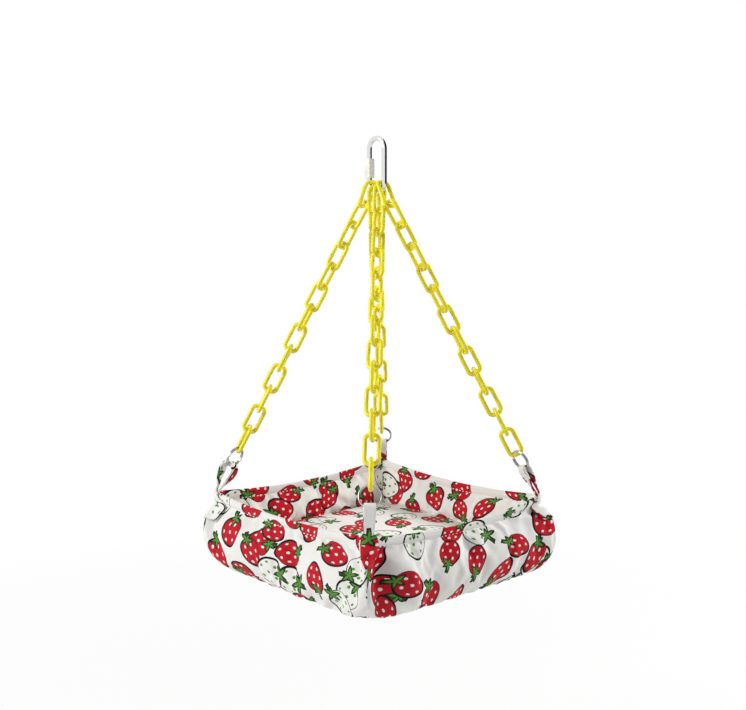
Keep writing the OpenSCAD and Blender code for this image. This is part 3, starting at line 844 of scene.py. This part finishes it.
# Spun polyester thread: off-white, matt and slightly hairy, with hairs a third of a millimetre apart
hair_gap = MM / 3
white_thread, tree = new_material("spun_white_polyester_thread")
place = add(tree, "ShaderNodeTexCoord")
hair = add(tree, "ShaderNodeTexNoise", {"Vector": place.outputs["Object"], "Scale": 1 / hair_gap})
tone = add(tree, "ShaderNodeMix",
           {"Factor": hair, 6: linear("#E8E5DE"), 7: linear("#FAF9F6")}, data_type="RGBA")
relief = add(tree, "ShaderNodeBump", {"Height": hair, "Strength": 0.3, "Distance": 0.1 * MM})
spun = add(tree, "ShaderNodeBsdfPrincipled",
           {"Base Color": tone.outputs[2], "Roughness": 0.7, "Normal": relief})
add(tree, "ShaderNodeOutputMaterial", {"Surface": spun})

# One stitch, from a ball 1 mm across, and then its copies along both sides of the lip
bpy.ops.object.select_all(action="DESELECT")
bpy.ops.mesh.primitive_uv_sphere_add(segments=8, ring_count=5, radius=0.5 * MM)
bar = bpy.context.object
bpy.ops.object.mode_set(mode="EDIT")
bpy.ops.mesh.select_all(action="SELECT")
bpy.ops.transform.resize(value=(stitch_width, stitch_height, stitch_length), center_override=(0, 0, 0))
pick(bar, "verts", lambda p: abs(p.z) > stitch_end * MM)
bpy.ops.transform.translate(value=(0, -stitch_dive * MM, 0))
bpy.ops.object.mode_set(mode="OBJECT")
bar_points = np.array([v.co for v in bar.data.vertices]) / MM
bar_faces = [list(f.vertices) for f in bar.data.polygons]
bpy.data.objects.remove(bar)
stitch_points, stitch_faces = [], []
for row, sign in ((len(lip), 1), (first_inner + len(lip) - 1, -1)):
    line = points[row * round_cells:(row + 1) * round_cells]
    line = np.concatenate([line, line[:1]])
    length = np.concatenate([[0], np.cumsum(np.linalg.norm(np.diff(line, axis=0), axis=1))])
    for n in range(int(length[-1] / stitch_step)):
        at = (n + 0.5) * stitch_step
        k = min(int(np.searchsorted(length, at)) - 1, round_cells - 1)
        share = (at - length[k]) / (length[k + 1] - length[k])
        here = line[k] + share * (line[k + 1] - line[k])
        along = (line[k + 1] - line[k]) / (length[k + 1] - length[k])
        out = sign * np.cross(along, [0, 0, 1.0])
        out /= np.linalg.norm(out)
        side = np.cross(out, along)
        base = len(stitch_points)
        for p in bar_points:
            stitch_points.append(here + p[0] * side + (p[1] + stitch_lift) * out + p[2] * along)
        stitch_faces += [[base + v for v in f] for f in bar_faces]
topstitch = bpy.data.meshes.new("topstitching")
topstitch.from_pydata([tuple(p) for p in np.array(stitch_points) * MM], [], stitch_faces)
topstitching = bpy.data.objects.new("topstitching", topstitch)
scene.collection.objects.link(topstitching)
select_only(topstitching)
face_outwards()
bpy.ops.object.shade_smooth()
topstitch.materials.append(white_thread)
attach(topstitching, "hanging_bed")


# Loops: a strip of the same cotton folded to a 7 mm strap, passed round a split ring, its inner
# end caught in the rim seam and its outer end sewn down over the corner as a short tail.
strap_half, strap_thick, strap_cell = 3.7, 1.6, 0.9
half_section = [(-0.93, 0.5), (-0.62, 0.47), (0.0, 0.42), (0.62, 0.47), (0.93, 0.5), (1.0, 0.25),
                (1.0, -0.25)]
strap_section = half_section + [(-w, -h) for w, h in half_section]
strap_sides = np.array([w for w, _ in strap_section])
# Millimetres, shares of the strap's own width and height, or counts: where it passes the rim, its two
# legs, their twist towards the ring, and its tail
rim_width, rim_heights, rim_stand, rim_slope, rim_share = 0.9, (2.2, 4.0), 1.6, 0.1, 0.3
outer_leg, outer_start, inner_leg, seam_depth, over_wire = 1.0, 0.35, 0.9, 3, 2.65
twist_start, twist_length = 0.2, 0.6
tail_top, tail_gap, tail_columns, lean_depth = 1.0, 0.4, 9, 9
pucker_depth, pucker_down, pucker_across = 5, 0.95, 2.2
tail_steps, outer_steps, fold_steps, inner_steps = 11, 8, 12, 11
# For each loop: the tail's length, spread, puckers and lean to one wall, the fold's radius, and where
# on the cloth its strip was cut
straps = {
    "front": (17.0, 1.6, 1.3, 0.0, 2.45, (129.5, 66.0)),
    "right": (15.0, 1.1, 0.44, -6.0, 2.45, (208.0, 306.0)),
    "back": (16.0, 1.1, 0.44, 0.0, 2.45, (208.0, 277.0)),
    "left": (18.0, 1.2, 0.48, 7.0, 5.05, (192.5, 312.0)),
}


# The way that a strap faces once it has turned from the rim towards its ring
def facing(face, width, turn):
    return math.cos(turn) * face + math.sin(turn) * width


def resampled(values, steps, even):
    return np.stack([np.interp(even, steps, column) for column in values.T], axis=1)


for turns, (corner, (east, north)) in enumerate(zip(corner_names, ((1, -1), (1, 1), (-1, 1), (-1, -1)))):
    # The strap's own axes: up to the ring's middle, and the way it faces at the rim and in the ring
    hinge = ring_hinges["split_ring_" + corner]
    root = np.array([east * corner_reach, north * corner_reach, rim_level])
    outward = np.array([east, north, 0.0]) / math.sqrt(2)
    beside = np.cross([0, 0, 1.0], outward)
    up = np.array(hinge["pos_m"]) / MM - root
    reach = np.linalg.norm(up)
    up /= reach
    face = outward - up * (outward @ up)
    face /= np.linalg.norm(face)
    ring_face = np.array(hinge["axis"])
    ring_face *= np.sign(ring_face @ outward)
    width = np.cross(face, up)
    full_turn = math.atan2(ring_face @ width, ring_face @ face)
    tail_length, tail_spread, tail_pucker, tail_lean, fold_r, (left_u, left_v) = straps[corner]
    fold_at = reach - ring_radius / MM + over_wire - fold_r

    # Path of the strap's middle, from the tail's end up over the rim, round the ring and down. Each
    # station has a place, the way of the strap's width, its spread and how far its points stand out.
    # The tail lies on the cover and bends round its corner.
    stations = []
    flat_strap = np.zeros(len(strap_section))
    skin = points[:len(outer) * round_cells].reshape(len(outer), round_cells, 3)
    skin = skin[:, (turns * wall_cells + np.arange(-tail_columns, tail_columns + 1)) % round_cells]
    skin_depth = rim_level - skin[:, tail_columns, 2]
    for depth in np.linspace(tail_length, tail_top, tail_steps):
        below = np.searchsorted(skin_depth, depth)
        share = (depth - skin_depth[below - 1]) / (skin_depth[below] - skin_depth[below - 1])
        level = skin[below - 1] + share * (skin[below] - skin[below - 1])
        swell = math.sin(math.pi * min(1, depth / tail_length + 0.15)) ** 0.7
        spread = rim_width + (tail_spread - rim_width) * swell
        lean = tail_lean * smooth(depth / lean_depth)
        stand = np.interp(lean + strap_sides * strap_half * spread, level @ beside, level @ outward)
        middle = np.interp(lean, level @ beside, level @ outward)
        pucker = tail_pucker * np.sin(pucker_down * depth + pucker_across * strap_sides)
        pucker *= min(1, depth / pucker_depth)
        place = outward * (middle + tail_gap + strap_thick / 2) + beside * lean
        place[2] += rim_level - depth
        stations.append((place, beside, spread, stand - middle + pucker))
    for high in rim_heights:
        place = root + up * high + face * (rim_stand - rim_slope * high)
        stations.append((place, beside, rim_width, flat_strap))
    for share in np.linspace(outer_start, 1, outer_steps):
        normal = facing(face, width, full_turn * smooth((share - twist_start) / twist_length))
        place = root + up * share * fold_at + normal * (outer_leg + (fold_r - outer_leg) * smooth(share))
        stations.append((place, np.cross(up, normal), 1.0, flat_strap))
    normal = facing(face, width, full_turn)
    for angle in np.linspace(0, math.pi, fold_steps)[1:-1]:
        place = root + up * (fold_at + fold_r * math.sin(angle)) + normal * fold_r * math.cos(angle)
        stations.append((place, np.cross(up, normal), 1.0, flat_strap))
    for share in np.linspace(1, 0.0, inner_steps):
        high = share * (fold_at + seam_depth) - seam_depth
        normal = facing(face, width, full_turn * smooth((high / fold_at - twist_start) / twist_length))
        place = root + up * high - normal * (inner_leg + (fold_r - inner_leg) * smooth(high / fold_at))
        spread = 1.0 if share > rim_share else rim_width
        stations.append((place, np.cross(up, normal), spread, flat_strap))

    # The stations are spaced evenly and smoothed, and the width is kept square to the path
    middle = np.array([s[0] for s in stations])
    breadth = np.array([s[1] * np.sign(s[1] @ stations[0][1] or 1) for s in stations])
    steps = np.concatenate([[0], np.cumsum(np.linalg.norm(np.diff(middle, axis=0), axis=1))])
    even = np.linspace(0, steps[-1], int(steps[-1] / strap_cell))
    middle = resampled(middle, steps, even)
    breadth = resampled(breadth, steps, even)
    spread = np.interp(even, steps, [s[2] for s in stations])
    lift = resampled(np.array([s[3] for s in stations]), steps, even)
    for _ in range(3):
        middle[1:-1] = (middle[:-2] + 2 * middle[1:-1] + middle[2:]) / 4
        breadth[1:-1] = (breadth[:-2] + 2 * breadth[1:-1] + breadth[2:]) / 4
    heading = np.gradient(middle, axis=0)
    heading /= np.linalg.norm(heading, axis=1, keepdims=True)
    breadth -= heading * (breadth * heading).sum(axis=1, keepdims=True)
    breadth /= np.linalg.norm(breadth, axis=1, keepdims=True)
    thickness = np.cross(breadth, heading)

    # The section is swept along the path, with the cloth's UVs round its girth, and capped
    count = len(strap_section)
    strap_points = [middle[n] + breadth[n] * strap_half * spread[n] * w + thickness[n] * strap_thick * h
                    + outward * lift[n, k]
                    for n in range(len(middle)) for k, (w, h) in enumerate(strap_section)]
    strap_faces, strap_uvs = [], []
    girth = [0.0]
    for k in range(count):
        a, b = strap_section[k], strap_section[(k + 1) % count]
        girth.append(girth[-1] + math.hypot((b[0] - a[0]) * strap_half, (b[1] - a[1]) * strap_thick))
    for n in range(len(middle) - 1):
        for k in range(count):
            j = (k + 1) % count
            strap_faces.append([n * count + k, n * count + j, (n + 1) * count + j, (n + 1) * count + k])
            u, next_u = left_u + girth[k], left_u + girth[k + 1]
            v, next_v = left_v + even[n], left_v + even[n + 1]
            strap_uvs.append([(u, v), (next_u, v), (next_u, next_v), (u, next_v)])
    for ring, flip in ((0, True), (len(middle) - 1, False)):
        cap = [ring * count + k for k in range(count)]
        strap_faces.append(cap[::-1] if flip else cap)
        strap_uvs.append([(left_u + w, left_v) for w, _ in strap_section])
    strap = cloth_piece("strap_loop_" + corner, strap_points, strap_faces, strap_uvs)
    face_outwards()
    finer = strap.modifiers.new("finer", "SUBSURF")
    finer.levels = finer.render_levels = 1
    bpy.ops.object.modifier_apply(modifier="finer")
    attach(strap, "hanging_bed")
    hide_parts("loop_" + corner)
